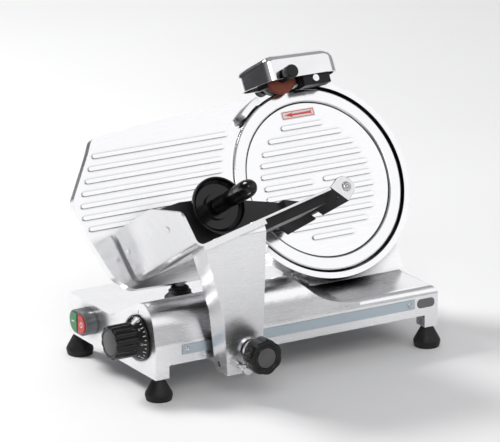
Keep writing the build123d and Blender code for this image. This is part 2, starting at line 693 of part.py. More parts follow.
def rod_bracket():
    fold = [(213.1, 0), (229, -25), (231, -23.6), (216, 0)]
    body = Pos(0, 0, 8) * extrude(outline(fold), 172)
    notch = TRAY * box(195, 245, -30, -17, 86, 108)
    tab = outline([(213.1, 0), (229, -25), (247, -14), (246, -2), (238, 7), (228, 8)], [0, 4, 8, 6, 6, 4])
    body += Pos(0, 0, 177.4) * extrude(tab, 2.6) + Pos(0, 0, 8) * extrude(tab, 2.6)
    body -= disc(PUSH_R, 0, 200, PUSH_X, PUSH_M)
    body -= Pos(220, -17, 168) * Rot(0, 0, 32) * Rot(0, 90, 0) * Cylinder(2.5, 30)
    return TRAY * body - notch


def guide_rod():
    return TRAY * disc(PUSH_R, 8, 180, PUSH_X, PUSH_M)


# ------------------------------------------------------------ pusher
def pusher_plate():
    points = [(22, 3), (22, 58), (34, 70), (70, 67.5), (112, 57), (165, 33), (194, 20), (216, 9), (228, 4),
              (228, -2), (210, 3)]
    body = Pos(0, 0, 60) * extrude(outline(points, [3, 8, 10, 12, 0, 0, 0, 0, 0, 0, 0]), 5)
    body += disc(11, 60, 100, PUSH_X, PUSH_M)
    gusset = [(206, 6), (206, 16), (232, 3), (236, -8), (227, -8), (220, 3)]
    body += Pos(0, 0, 60) * extrude(outline(gusset), 14)
    body += disc(17, 64, DISC_W - 0.2, DISC_X, DISC_M) - disc(11, 66, 74, DISC_X, DISC_M)
    body += disc(4, 64, DISC_W + 40, DISC_X, DISC_M)
    return TRAY * (body - disc(7.5 + RUN, 40, 120, PUSH_X, PUSH_M))


def pusher_sleeve():
    body = disc(7.5, 57, 103, PUSH_X, PUSH_M) + disc(9.5, 57, 59.7, PUSH_X, PUSH_M)
    body += disc(9.5, 100.3, 103, PUSH_X, PUSH_M)
    return TRAY * (body - disc(PUSH_R + RUN, 40, 120, PUSH_X, PUSH_M))


def pusher_teeth():
    plate = slab([(30, 4), (30, 54), (60, 58), (190, 14), (190, 4)], 57.5, 60, [2, 4, 4, 3, 2])
    spike = Cone(0.35, 1.9, 5.5, align=UP)
    for i in range(5):
        for j in range(11 - 2 * i):
            px, py = 38 + 14 * j + 3 * (i % 2), 9 + 10 * i
            plate += Pos(px, py, 52.1) * spike
    return TRAY * plate


def pusher_disc():
    profile = [(4, 0), (20, 0), (30, 0.6), (34, 4), (35.5, 9), (37.5, 9), (37.5, 5), (35, -1.6), (30, -4.4),
               (20, -5), (4, -5)]
    bowl = turned(profile)
    bowl += disc(17.5, -1, 4) - disc(4, -2, 6)
    return TRAY * Pos(DISC_X, DISC_M, DISC_W + 5.2) * bowl


def pusher_handle():
    grip = turned([(0, 9.4), (9.5, 9.4), (11.2, 16), (10.6, 34), (11.6, 70), (11.4, 72),
                   (11.9, 74), (12, 95), (10.6, 103), (6, 108), (0, 109)])
    return TRAY * Pos(DISC_X, DISC_M, DISC_W) * (grip - disc(4, 0, 40))


PARTS = {
    "base_housing": base_housing, "base_plate": base_plate,
    "feet": feet, "base_screws": base_screws, "front_strip": front_strip,
    "badge": badge, "cord_gland": cord_gland, "control_box": control_box,
    "switch_housing": switch_housing, "dial_knob": dial_knob,
    "dial_cam": dial_cam, "gauge_slider": gauge_slider, "gauge_rod": gauge_rod,
    "gauge_boot": gauge_boot, "gauge_plate": gauge_plate, "gauge_bracket": gauge_bracket,
    "blade": blade, "blade_screws": blade_screws, "blade_shaft": blade_shaft,
    "driven_pulley": driven_pulley, "drive_belt": drive_belt, "blade_bearings": blade_bearings,
    "blade_support": blade_support, "motor_cover": motor_cover, "motor_body": motor_body,
    "motor_rotor": motor_rotor, "blade_cover": blade_cover,
    "arrow_label": arrow_label, "cover_tie_rod": cover_tie_rod, "cover_knob": cover_knob,
    "slice_deflector": slice_deflector, "sharpener_hood": sharpener_hood,
    "sharpener_body": sharpener_body, "sharpener_pins": sharpener_pins,
    "sharpener_lock": sharpener_lock,
    "carriage_rod": carriage_rod, "guide_bar": guide_bar, "rod_buffers": rod_buffers,
    "carriage_block": carriage_block, "guide_roller": guide_roller,
    "carriage_arm": carriage_arm, "arm_pins": arm_pins, "arm_knob": arm_knob,
    "arm_knob_stem": arm_knob_stem, "arm_bearer": arm_bearer,
    "tray": tray, "tray_fixings": tray_fixings, "rod_bracket": rod_bracket,
    "guide_rod": guide_rod, "pusher_plate": pusher_plate, "pusher_sleeve": pusher_sleeve,
    "pusher_teeth": pusher_teeth, "pusher_disc": pusher_disc, "pusher_handle": pusher_handle,
}


for name, make in PARTS.items():
    save(name, make())
save("switch_button_green", switch_button(True))
save("switch_button_red", switch_button(False))
save("grind_stone", stone(True))
save("grind_button", stone_button(True))
save("hone_stone", stone(False))
save("hone_button", stone_button(False))
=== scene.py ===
import json
import math

import bmesh
import bpy
from mathutils import Matrix, Vector

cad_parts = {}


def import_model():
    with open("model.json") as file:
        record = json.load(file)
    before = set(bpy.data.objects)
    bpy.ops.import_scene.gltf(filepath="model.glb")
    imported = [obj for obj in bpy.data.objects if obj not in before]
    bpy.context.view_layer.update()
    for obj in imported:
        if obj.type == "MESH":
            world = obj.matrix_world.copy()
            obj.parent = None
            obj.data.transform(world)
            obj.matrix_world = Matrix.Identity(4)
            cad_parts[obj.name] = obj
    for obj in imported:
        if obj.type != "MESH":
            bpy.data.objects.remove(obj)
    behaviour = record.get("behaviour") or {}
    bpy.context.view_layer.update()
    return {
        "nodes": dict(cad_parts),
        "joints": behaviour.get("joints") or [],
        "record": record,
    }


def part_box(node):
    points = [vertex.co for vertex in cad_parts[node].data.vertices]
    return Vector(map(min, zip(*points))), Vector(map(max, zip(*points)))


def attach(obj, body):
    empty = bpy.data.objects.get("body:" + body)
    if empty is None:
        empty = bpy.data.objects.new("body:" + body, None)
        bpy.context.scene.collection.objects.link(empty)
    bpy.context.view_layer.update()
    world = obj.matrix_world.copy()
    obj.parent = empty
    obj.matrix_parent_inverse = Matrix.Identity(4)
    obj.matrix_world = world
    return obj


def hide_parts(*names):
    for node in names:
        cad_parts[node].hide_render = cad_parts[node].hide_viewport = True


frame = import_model()

MM = 0.001
NODES = frame["nodes"]
JOINTS = {joint["name"]: joint for joint in frame["joints"]}
FINISH = {row["node"]: row["material_slot"] for row in frame["record"]["subparts"]}
X = Vector((1, 0, 0))

# Sizes of the added detail, in millimetres
TRAY_ROLL = 12.0
DIAL_FLUTES, DIAL_R, DIAL_SKIRT_R = 12, 22.4, 30.0
ARM_KNOB_R, ARM_KNOB_LOBES = 23.5, 7
SLEEVE_PIVOT = Vector((235.0, -7.0, 80.0))       # pusher pivot in tray axes
BRACKET_W, BRACKET_SKIN = 180.0, 0.4             # front of the rod bracket, its bright face
FOOT_INSET = 18.0                                # foot screw from the feet's outer corner
PLATE_Z = 29.5                                   # underside of the base plate
PLATE_SCREWS = [(40.0, 130.0), (40.0, 214.0), (280.0, 130.0), (280.0, 218.0)]
TRAY_RIVETS = [(131, 37.5), (17, 38.5)]
TRAY_SCREWS = [(36, 132), (96, 132), (36, 164), (96, 164)]


# ------------------------------------------------------------ frames
def axes(origin, x, z):
    y = z.cross(x)
    rows = [[x[i], y[i], z[i], origin[i]] for i in range(3)]
    return Matrix(rows + [[0, 0, 0, 1]])


N = Vector(JOINTS["blade_spin"]["axis"]).normalized()
M = N.cross(X)
BLADE = axes(Vector(JOINTS["blade_spin"]["pos_m"]), X, N)
TRAY_X = X * math.cos(math.radians(TRAY_ROLL)) + M * math.sin(math.radians(TRAY_ROLL))
TRAY = axes(Vector(JOINTS["pusher_swing"]["pos_m"]), TRAY_X, N)
TRAY = TRAY @ Matrix.Translation(-SLEEVE_PIVOT * MM)
DIAL = axes(Vector(JOINTS["dial_turn"]["pos_m"]), Vector((0, 1, 0)), Vector((-1, 0, 0)))
OUT_LEFT, OUT_FRONT = Vector((-1, 0, 0)), Vector((0, -1, 0))
DIAL_ON_WALL = axes(Vector(JOINTS["dial_turn"]["pos_m"]), OUT_FRONT, OUT_LEFT)


def middle(node):
    low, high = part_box(node)
    return (low + high) / 2


def extent(node, place):
    """Lowest and highest corners of a CAD node in the axes `place`, in millimetres."""
    inverse = place.inverted()
    points = [inverse @ vertex.co / MM for vertex in NODES[node].data.vertices]
    low = Vector([min(point[i] for point in points) for i in range(3)])
    high = Vector([max(point[i] for point in points) for i in range(3)])
    return low, high


# ------------------------------------------------------------ materials
class Surface:
    """One procedural material, built from a few kinds of node."""

    def __init__(self, name, **sockets):
        self.material = bpy.data.materials.new(name)
        self.material.use_nodes = True
        self.tree = self.material.node_tree
        self.shader = self.tree.nodes["Principled BSDF"]
        for socket, value in sockets.items():
            self.shader.inputs[socket.replace("_", " ")].default_value = value
        self.height = None

    def node(self, kind, **values):
        made = self.tree.nodes.new(kind)
        for key, value in values.items():
            setattr(made, key, value)
        return made

    def link(self, source, target):
        self.tree.links.new(source, target)

    def coords(self, scale=(1, 1, 1), local=None):
        source = self.node("ShaderNodeTexCoord").outputs["Object"]
        if local is not None:
            place = local.inverted()
            turn = self.node("ShaderNodeMapping")
            turn.inputs["Location"].default_value = place.to_translation()
            turn.inputs["Rotation"].default_value = place.to_euler()
            self.link(source, turn.inputs["Vector"])
            source = turn.outputs["Vector"]
        stretch = self.node("ShaderNodeMapping")
        stretch.inputs["Scale"].default_value = scale
        self.link(source, stretch.inputs["Vector"])
        return stretch.outputs["Vector"]

    def noise(self, vector, scale=1.0, detail=3.0, roughness=0.55):
        made = self.node("ShaderNodeTexNoise")
        made.inputs["Scale"].default_value = scale
        made.inputs["Detail"].default_value = detail
        made.inputs["Roughness"].default_value = roughness
        self.link(vector, made.inputs["Vector"])
        return made.outputs["Fac"]

    def cells(self, vector, scale):
        made = self.node("ShaderNodeTexVoronoi")
        made.inputs["Scale"].default_value = scale
        self.link(vector, made.inputs["Vector"])
        return made.outputs["Distance"]

    def rings(self, local, scale):
        """Fine circles about the local Z axis."""
        flat = self.coords((1, 1, 0), local)
        length = self.node("ShaderNodeVectorMath", operation="LENGTH")
        self.link(flat, length.inputs[0])
        joined = self.node("ShaderNodeCombineXYZ")
        self.link(length.outputs["Value"], joined.inputs["X"])
        return self.noise(joined.outputs["Vector"], scale, 4.0, 0.7)

    def spread(self, value, low, high, start=0.3, end=0.7):
        made = self.node("ShaderNodeMapRange")
        made.inputs["From Min"].default_value = start
        made.inputs["From Max"].default_value = end
        made.inputs["To Min"].default_value = low
        made.inputs["To Max"].default_value = high
        self.link(value, made.inputs["Value"])
        return made.outputs["Result"]

    def mix(self, factor, first, second, blend="MIX"):
        made = self.node("ShaderNodeMix", data_type="RGBA", blend_type=blend)
        for value, index in ((factor, 0), (first, 6), (second, 7)):
            if isinstance(value, bpy.types.NodeSocket):
                self.link(value, made.inputs[index])
            else:
                made.inputs[index].default_value = value if index == 0 else (*value, 1)
        return made.outputs[2]

    def colour(self, value):
        self.link(value, self.shader.inputs["Base Color"])

    def rough(self, value):
        self.link(value, self.shader.inputs["Roughness"])

    def bump(self, height, strength, distance_mm):
        made = self.node("ShaderNodeBump")
        made.inputs["Strength"].default_value = strength
        made.inputs["Distance"].default_value = distance_mm * MM
        self.link(height, made.inputs["Height"])
        if self.height is not None:
            self.link(self.height, made.inputs["Normal"])
        self.height = made.outputs["Normal"]
        self.link(self.height, self.shader.inputs["Normal"])

    def crevice(self, reach_mm):
        """Light reaching the surface: low in corners and under ribs."""
        made = self.node("ShaderNodeAmbientOcclusion", samples=6)
        made.inputs["Distance"].default_value = reach_mm * MM
        return made.outputs["AO"]


def brushed(name, dark, light, rough, streak, reach=5.0, painted_shade_tone=(0.12, 0.12, 0.13), local=None,
            **sockets):
    """Metal with fine parallel brush lines, faint blotches and painted shade in its corners."""
    s = Surface(name, Metallic=1.0, **sockets)
    lines = s.noise(s.coords(streak, local), 1.0, 4.0, 0.65)
    blotch = s.noise(s.coords((14, 14, 14)), 1.0, 2.0)
    tone = s.mix(s.spread(lines, 0, 1), dark, light)
    tone = s.mix(s.spread(blotch, 0.0, 0.5), tone, light)
    # Painted shade: the base colour darkens where ambient occlusion is low, in corners, recesses
    # and under ribs.
    shade = s.spread(s.crevice(reach), 1.0, 0.0, 0.25, 0.85)
    s.colour(s.mix(shade, tone, painted_shade_tone))
    mixed = s.mix(0.45, s.spread(lines, rough[0], rough[1]), s.spread(blotch, rough[0], rough[1]))
    s.rough(mixed)
    s.bump(lines, 0.12, 0.06)
    return s.material


def ground(name, dark, light, rough, local, scale=2600.0):
    """Metal ground or turned in circles about an axis, with painted shade in its crevices."""
    s = Surface(name, Metallic=1.0)
    circles = s.rings(local, scale)
    blotch = s.noise(s.coords((22, 22, 22)), 1.0, 2.0)
    tone = s.mix(s.spread(circles, 0, 1), dark, light)
    # Painted shade: the base colour darkens towards dark grey where ambient occlusion is low, in
    # crevices.
    shade = s.spread(s.crevice(2.5), 0.8, 0.0, 0.3, 0.9)
    s.colour(s.mix(shade, tone, (0.1, 0.1, 0.11)))
    s.rough(s.spread(blotch, rough[0], rough[1]))
    s.bump(circles, 0.15, 0.04)
    return s.material


def polished(name, tone, rough, wave=0.1):
    """Smooth bright metal with faint smears and hairline scratches."""
    s = Surface(name, Metallic=1.0)
    smear = s.noise(s.coords((30, 30, 30)), 1.0, 3.0)
    hair = s.noise(s.coords((60, 900, 2400)), 1.0, 5.0, 0.75)
    s.colour(s.mix(s.spread(smear, 0, 1), [c * 0.93 for c in tone], tone))
    s.rough(s.spread(smear, rough[0], rough[1]))
    s.bump(hair, wave, 0.03)
    return s.material


def moulded(name, dark, light, rough, grain_mm=0.5, strength=0.25, **sockets):
    """Plastic or paint with a fine moulded grain and slight wear in its sheen."""
    s = Surface(name, **sockets)
    grain = s.noise(s.coords(), 1.0 / (grain_mm * MM), 3.0)
    wear = s.noise(s.coords((35, 35, 35)), 1.0, 4.0)
    s.colour(s.mix(s.spread(wear, 0, 1), dark, light))
    s.rough(s.spread(wear, rough[0], rough[1]))
    s.bump(grain, strength, 0.05)
    return s.material


def rubber():
    s = Surface("rubber", Specular_IOR_Level=0.35)
    grain = s.noise(s.coords(), 1400.0, 3.0)
    dust = s.noise(s.coords((60, 60, 40)), 1.0, 5.0, 0.7)
    s.colour(s.mix(s.spread(dust, 0, 1, 0.45, 0.8), (0.008, 0.008, 0.008), (0.04, 0.04, 0.042)))
    s.rough(s.spread(dust, 0.42, 0.7))
    s.bump(grain, 0.3, 0.08)
    return s.material


def abrasive(name, dark, light, grit_mm):
    """Bonded grit: speckled colour over a coarse bump."""
    s = Surface(name, Specular_IOR_Level=0.3)
    grit = s.cells(s.coords(), 1.0 / (grit_mm * MM))
    cloud = s.noise(s.coords(), 120.0, 4.0, 0.7)
    speck = s.mix(s.spread(grit, 0, 1, 0.1, 0.6), light, dark)
    s.colour(s.mix(s.spread(cloud, 0, 0.6), speck, dark))
    s.rough(s.spread(cloud, 0.75, 0.95))
    s.bump(grit, 0.6, 0.25)
    return s.material


def printed(name, tone, other):
    s = Surface(name, Roughness=0.35)
    speck = s.noise(s.coords(), 900.0, 2.0)
    s.colour(s.mix(s.spread(speck, 0, 1), tone, other))
    s.rough(s.spread(speck, 0.28, 0.42))
    s.bump(speck, 0.05, 0.02)
    return s.material


STREAK_X = (26, 1500, 1500)
# The brushed() and ground() metals carry painted shade in corners and recesses; reach sets how far
# it spreads.
LOOKS = {
    "cast_aluminium": brushed("satin_casting", (0.78, 0.78, 0.79), (0.9, 0.9, 0.91), (0.2, 0.34),
                              STREAK_X,
                              reach=18.0, painted_shade_tone=(0.05, 0.05, 0.055)),
    "polished_aluminium": brushed("fine_satin", (0.8, 0.8, 0.81), (0.9, 0.9, 0.91), (0.2, 0.3),
                                  STREAK_X,
                                  reach=6.0, painted_shade_tone=(0.015, 0.015, 0.015)),
    "machined_aluminium": ground("turned_aluminium", (0.66, 0.67, 0.68), (0.8, 0.8, 0.81),
                                 (0.2, 0.35), BLADE),
    "zinc_sheet": brushed("zinc_sheet", (0.5, 0.51, 0.53), (0.66, 0.67, 0.69), (0.3, 0.45),
                          (200, 300, 200)),
    "stainless_sheet": brushed("brushed_stainless", (0.62, 0.62, 0.63), (0.76, 0.76, 0.77),
                               (0.2, 0.32),
                               (1500, 30, 1500), local=TRAY),
    "blade_steel": ground("ground_blade", (0.76, 0.76, 0.77), (0.9, 0.9, 0.91), (0.12, 0.2), BLADE),
    "machined_steel": brushed("machined_steel", (0.42, 0.42, 0.44), (0.6, 0.6, 0.62), (0.25, 0.4),
                              STREAK_X),
    "ground_steel": polished("ground_steel", (0.8, 0.8, 0.82), (0.07, 0.16)),
    "steel_screws": polished("plated_screw", (0.62, 0.62, 0.64), (0.15, 0.3)),
    "polished_hood": polished("polished_hood", (0.78, 0.78, 0.79), (0.1, 0.18), 0.05),
    "anodised_strip": brushed("anodised_strip", (0.42, 0.5, 0.56), (0.55, 0.62, 0.67), (0.35, 0.5),
                              STREAK_X),
    "badge_plate": brushed("badge_plate", (0.1, 0.1, 0.11), (0.2, 0.2, 0.21), (0.25, 0.35),
                           STREAK_X),
    "black_rubber": rubber(),
    "belt_rubber": moulded("belt_rubber", (0.02, 0.02, 0.02), (0.05, 0.05, 0.05), (0.6, 0.8), 0.8,
                           0.4),
    "black_plastic": moulded("black_moulding", (0.003, 0.003, 0.003), (0.01, 0.01, 0.01),
                             (0.2, 0.34), 0.6, 0.12,
                             Specular_IOR_Level=0.3),
    "black_gloss": moulded("black_gloss", (0.002, 0.002, 0.002), (0.006, 0.006, 0.006),
                           (0.12, 0.22), 2.0, 0.05,
                           Specular_IOR_Level=0.35),
    "grey_plastic": moulded("grey_moulding", (0.28, 0.29, 0.3), (0.36, 0.37, 0.38), (0.4, 0.55)),
    "switch_grey": moulded("switch_grey", (0.1, 0.105, 0.11), (0.17, 0.175, 0.18), (0.22, 0.35),
                           0.4, 0.1),
    "switch_green": moulded("switch_green", (0.03, 0.19, 0.07), (0.06, 0.27, 0.11), (0.25, 0.38),
                            0.4, 0.1),
    "switch_red": moulded("switch_red", (0.5, 0.03, 0.03), (0.64, 0.06, 0.055), (0.25, 0.38), 0.4,
                          0.1),
    "black_casting": moulded("black_enamel", (0.003, 0.003, 0.003), (0.01, 0.01, 0.011),
                             (0.25, 0.4), 0.9, 0.25,
                             Specular_IOR_Level=0.25),
    "grey_casting": moulded("dark_grey_enamel", (0.012, 0.012, 0.013), (0.028, 0.028, 0.03),
                            (0.3, 0.45), 0.7, 0.2,
                            Specular_IOR_Level=0.3),
    "motor_paint": moulded("motor_enamel", (0.05, 0.06, 0.075), (0.09, 0.1, 0.12), (0.3, 0.5), 1.0,
                           0.3),
    "label_white": printed("label_film", (0.9, 0.87, 0.86), (0.83, 0.79, 0.78)),
    "red_abrasive": abrasive("red_abrasive", (0.2, 0.055, 0.035), (0.4, 0.13, 0.08), 0.5),
    "grey_abrasive": abrasive("grey_abrasive", (0.3, 0.3, 0.28), (0.5, 0.5, 0.47), 0.3),
    "bearing_nylon": moulded("bearing_nylon", (0.62, 0.6, 0.54), (0.74, 0.72, 0.66), (0.4, 0.6)),
}
INK_RED = printed("red_ink", (0.72, 0.04, 0.03), (0.8, 0.09, 0.06))
INK_WHITE = printed("white_ink", (0.88, 0.9, 0.86), (0.8, 0.82, 0.78))
INK_BLACK = printed("black_ink", (0.01, 0.01, 0.01), (0.025, 0.025, 0.025))
KNOB_FACE = moulded("knob_face", (0.05, 0.05, 0.05), (0.08, 0.08, 0.08), (0.3, 0.42), 0.6, 0.15)


# ------------------------------------------------------------ carried-over CAD nodes
EDGE_MM = {"gauge_plate": 0.9, "blade_cover": 0.9, "base_housing": 0.7, "carriage_arm": 0.8,
           "tray": 0.5, "blade_support": 0.5, "blade": 0.0, "arrow_label": 0.1}


def soften(node, width_mm):
    """Small rounded edges, as castings, pressings and mouldings have."""
    weld = node.modifiers.new("weld", "WELD")
    weld.merge_threshold = 0.01 * MM
    plane = node.modifiers.new("flat", "DECIMATE")
    plane.decimate_type = "DISSOLVE"
    plane.angle_limit = math.radians(0.6)
    if width_mm > 0:
        bevel = node.modifiers.new("edge", "BEVEL")
        bevel.width = width_mm * MM
        bevel.segments = 2
        bevel.limit_method = "ANGLE"
        bevel.angle_limit = math.radians(32)
        bevel.use_clamp_overlap = True
    even = node.modifiers.new("shade", "WEIGHTED_NORMAL")
    even.keep_sharp = False
    even.weight = 80


for name, node in NODES.items():
    node.data.materials.clear()
    node.data.materials.append(LOOKS[FINISH[name]])
    soften(node, EDGE_MM.get(name, 0.35))


# ------------------------------------------------------------ mesh helpers
def finish_piece(name, mesh, place, body, material, stands_for=()):
    """Links a mesh drawn in millimetres in the axes `place`, and rides it on a CAD body."""
    mesh.transform(place @ Matrix.Scale(MM, 4))
    mesh.materials.append(material)
    piece = bpy.data.objects.new(name, mesh)
    bpy.context.scene.collection.objects.link(piece)
    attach(piece, body)
    if stands_for:
        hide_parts(*stands_for)
    return piece


def rounded(points, radius, steps=3):
    """An open profile with its inner corners turned into short arcs."""
    out = [Vector(points[0])]
    for before, corner, after in zip(points, points[1:], points[2:]):
        before, corner, after = Vector(before), Vector(corner), Vector(after)
        back, ahead = before - corner, after - corner
        reach = min(radius, back.length * 0.45, ahead.length * 0.45)
        start, end = corner + back.normalized() * reach, corner + ahead.normalized() * reach
        for i in range(steps + 1):
            t = i / steps
            out.append(start * (1 - t) ** 2 + corner * 2 * t * (1 - t) + end * t ** 2)
    return out + [Vector(points[-1])]


def turned(name, profile, place, body, material, shape=None, segments=96, stands_for=()):
    """A surface turned about local Z.

    shape(angle, radius, z) scales the radius, for lobes and flutes.
    """
    bm = bmesh.new()
    loops = []
    for r, z in profile:
        loop = []
        for i in range(segments if r > 1e-6 else 1):
            a = 2 * math.pi * i / segments
            reach = r * (shape(a, r, z) if shape else 1)
            loop.append(bm.verts.new((reach * math.cos(a), reach * math.sin(a), z)))
        loops.append(loop)
    for low, high in zip(loops, loops[1:]):
        for i in range(segments):
            j = (i + 1) % segments
            ring = [low[i % len(low)], low[j % len(low)], high[j % len(high)], high[i % len(high)]]
            corners = list(dict.fromkeys(ring))
            if len(corners) > 2:
                bm.faces.new(corners)
    bmesh.ops.recalc_face_normals(bm, faces=bm.faces)
    for face in bm.faces:
        face.smooth = True
    mesh = bpy.data.meshes.new(name)
    bm.to_mesh(mesh)
    bm.free()
    return finish_piece(name, mesh, place, body, material, stands_for)


def plate(name, outline, low, high, place, body, material, edge=0.0, stands_for=()):
    """A flat piece with the given outline, from height low to high."""
    bm = bmesh.new()
    base = bm.faces.new([bm.verts.new((x, y, low)) for x, y in outline])
    raised = bmesh.ops.extrude_face_region(bm, geom=[base])
    top = [v for v in raised["geom"] if isinstance(v, bmesh.types.BMVert)]
    bmesh.ops.translate(bm, verts=top, vec=(0, 0, high - low))
    bmesh.ops.recalc_face_normals(bm, faces=bm.faces)
    mesh = bpy.data.meshes.new(name)
    bm.to_mesh(mesh)
    bm.free()
    piece = finish_piece(name, mesh, place, body, material, stands_for)
    if edge > 0:
        bevel = piece.modifiers.new("edge", "BEVEL")
        bevel.width = edge * MM
        bevel.segments = 2
    return piece


def frame_strip(x0, x1, y0, y1, width):
    """The four bars of a rectangular border."""
    return [[(x0, y0), (x1, y0), (x1, y0 + width), (x0, y0 + width)],
            [(x0, y1 - width), (x1, y1 - width), (x1, y1), (x0, y1)],
            [(x0, y0 + width), (x0 + width, y0 + width), (x0 + width, y1 - width),
             (x0, y1 - width)],
            [(x1 - width, y0 + width), (x1, y0 + width), (x1, y1 - width),
             (x1 - width, y1 - width)]]


def lobes(count, depth, power=1.0):
    """Radius scale for rounded lobes with narrow hollows between them."""
    def scale(angle, radius, z):
        hollow = (0.5 - 0.5 * math.cos(count * angle)) ** power
        return 1 - depth * (1 - hollow)
    return scale


def hexagon(inside):
    """Radius scale that turns rings smaller than `inside` into a hexagon."""
    def scale(angle, radius, z):
        if radius > inside:
            return 1
        off = (angle + math.pi / 6) % (math.pi / 3) - math.pi / 6
        return math.cos(math.pi / 6) / math.cos(off)
    return scale


def screw(name, radius, rise, shank, length, place, body):
    """A button-head screw with a hexagon socket; the head stands on local Z = 0."""
    hole = radius * 0.48
    head = [(shank, -length), (shank, 0), (radius, 0), (radius, rise * 0.3),
            (radius * 0.85, rise * 0.75),
            (hole * 1.25, rise)]
    profile = [(0, -length)] + rounded(head, 0.25 * rise) + [(hole, rise - 0.02),
                                                             (hole, rise * 0.35), (0, rise * 0.3)]
    return turned(name, profile, place, body, LOOKS["steel_screws"],
                  hexagon(hole * 1.01), 48)


def text_piece(name, words, height, place, body, material, depth=0.12):
    """Generic lettering such as dial numbers, centred on local zero."""
    curve = bpy.data.curves.new(name, "FONT")
    curve.body = words
    curve.size = height
    curve.extrude = depth / 2
    curve.align_x = "CENTER"
    curve.align_y = "CENTER"
    holder = bpy.data.objects.new(name + "_curve", curve)
    bpy.context.scene.collection.objects.link(holder)
    bpy.context.view_layer.update()
    depsgraph = bpy.context.evaluated_depsgraph_get()
    mesh = bpy.data.meshes.new_from_object(holder.evaluated_get(depsgraph))
    bpy.data.objects.remove(holder)
    mesh.materials.clear()
    return finish_piece(name, mesh, place, body, material)


# ------------------------------------------------------------ dial
def dial():
    def flutes(angle, radius, z):
        if z < 12.4 or radius < 12:
            return 1
        hollow = abs(math.sin(DIAL_FLUTES * angle / 2)) ** 0.7
        return 1 - 0.105 * (1 - hollow)

    side = [(DIAL_SKIRT_R, 0.6), (DIAL_SKIRT_R, 4.0), (DIAL_R + 0.6, 11.6), (DIAL_R, 12.4),
            (DIAL_R, 42.0),
            (DIAL_R - 1.8, 43.0), (17.0, 43.0), (16.4, 42.4), (1.0, 42.4)]
    profile = [(6.2, 0.6)] + rounded(side, 0.7) + [(0, 42.4)]
    turned("dial_moulding", profile, DIAL, "dial", LOOKS["black_gloss"], flutes, 288,
           stands_for=["dial_knob"])
    turned("dial_cap", [(15.9, 42.2), (15.9, 42.75), (15.5, 42.95), (0, 42.95)], DIAL, "dial",
           KNOB_FACE)
    slope = math.atan2(11.6 - 4.0, DIAL_SKIRT_R - DIAL_R - 0.6)
    for i in range(32):
        long_mark = i % 2 == 0
        turn = Matrix.Rotation(-2 * math.pi * i / 32, 4, "Z")
        lean = Matrix.Rotation(-slope, 4, "X")
        place = DIAL @ turn @ Matrix.Translation(Vector((0, DIAL_SKIRT_R, 4.0)) * MM) @ lean
        reach = 4.2 if long_mark else 2.4
        plate(f"dial_mark_{i:02d}", [(-0.35, -0.9 - reach), (0.35, -0.9 - reach), (0.35, -0.9),
                                     (-0.35, -0.9)],
              -0.1, 0.08, place, "dial", INK_WHITE)
        if i % 4 == 0:
            upright = place @ Matrix.Translation(Vector((0, -7.4, 0.03)) * MM)
            text_piece(f"dial_number_{i // 2:02d}", str(i // 2), 3.2, upright, "dial", INK_WHITE)


def index_mark():
    """The line on the end of the base that the dial is read against."""
    plate("dial_index", [(-0.5, 33.0), (0.5, 33.0), (0.5, 37.0), (-0.5, 37.0)], 0.0, 0.15,
          DIAL_ON_WALL, "frame",
          INK_BLACK)


# ------------------------------------------------------------ switch marks
def switch_marks():
    low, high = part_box("switch_button_green")
    place = axes(Vector((low.x, (low.y + high.y) / 2, (low.z + high.z) / 2)), Vector((0, -1, 0)),
                 OUT_LEFT)
    plate("mark_on", [(-3.6, -0.7), (3.6, -0.7), (3.6, 0.7), (-3.6, 0.7)], -0.1, 0.15, place,
          "green_button",
          INK_WHITE, edge=0.1)
    low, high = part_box("switch_button_red")
    place = axes(Vector((low.x, (low.y + high.y) / 2, (low.z + high.z) / 2)), Vector((0, -1, 0)),
                 OUT_LEFT)
    ring = [(3.6, -0.1), (3.6, 0.1), (3.4, 0.18), (2.7, 0.18), (2.5, 0.1), (2.5, -0.1), (3.6, -0.1)]
    turned("mark_off", ring, place, "red_button", INK_WHITE, segments=48)


# ------------------------------------------------------------ arrow label
def arrow_marks():
    low, high = extent("arrow_label", BLADE)
    x0, x1, y0, y1, top = low.x, high.x, low.y, high.y, high.z
    for i, bar in enumerate(frame_strip(x0 + 0.8, x1 - 0.8, y0 + 0.8, y1 - 0.8, 0.9)):
        plate(f"label_border_{i}", bar, top - 0.05, top + 0.08, BLADE, "frame", INK_RED)
    mid, tip = (y0 + y1) / 2, x0 + 4.0
    arrow = [(tip, mid), (tip + 13, mid - 3.1), (tip + 11.5, mid - 1.2), (x1 - 7.0, mid - 1.5),
             (x1 - 4.0, mid - 2.9),
             (x1 - 5.5, mid), (x1 - 4.0, mid + 2.9), (x1 - 7.0, mid + 1.5), (tip + 11.5, mid + 1.2),
             (tip + 13, mid + 3.1)]
    plate("label_arrow", arrow, top - 0.05, top + 0.08, BLADE, "frame", INK_RED)


# ------------------------------------------------------------ knobs
def arm_knob():
    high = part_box("arm_knob")[1]
    centre = middle("arm_knob")
    place = axes(Vector((centre.x, high.y, centre.z)), X, OUT_FRONT)
    side = [(5.1, 0), (ARM_KNOB_R - 1, 0), (ARM_KNOB_R, 1.2), (ARM_KNOB_R, 19.4),
            (ARM_KNOB_R - 1.6, 21.0)]
    face = [(17.4, 21.0), (16.6, 19.6), (14.2, 19.6), (13.6, 20.8), (0.5, 20.8)]
    profile = rounded(side + face, 0.9)

    def shape(angle, radius, z):
        return lobes(ARM_KNOB_LOBES, 0.07, 0.6)(angle, radius, z) if radius > ARM_KNOB_R - 3 else 1

    turned("arm_knob_moulding", profile + [Vector((0, 20.8))], place, "arm_clamp",
           LOOKS["black_gloss"],
           shape, 252, stands_for=["arm_knob"])
    turned("arm_knob_cap", [(12.9, 20.6), (12.9, 20.8), (12.4, 20.95), (0, 21.0)], place,
           "arm_clamp", KNOB_FACE)


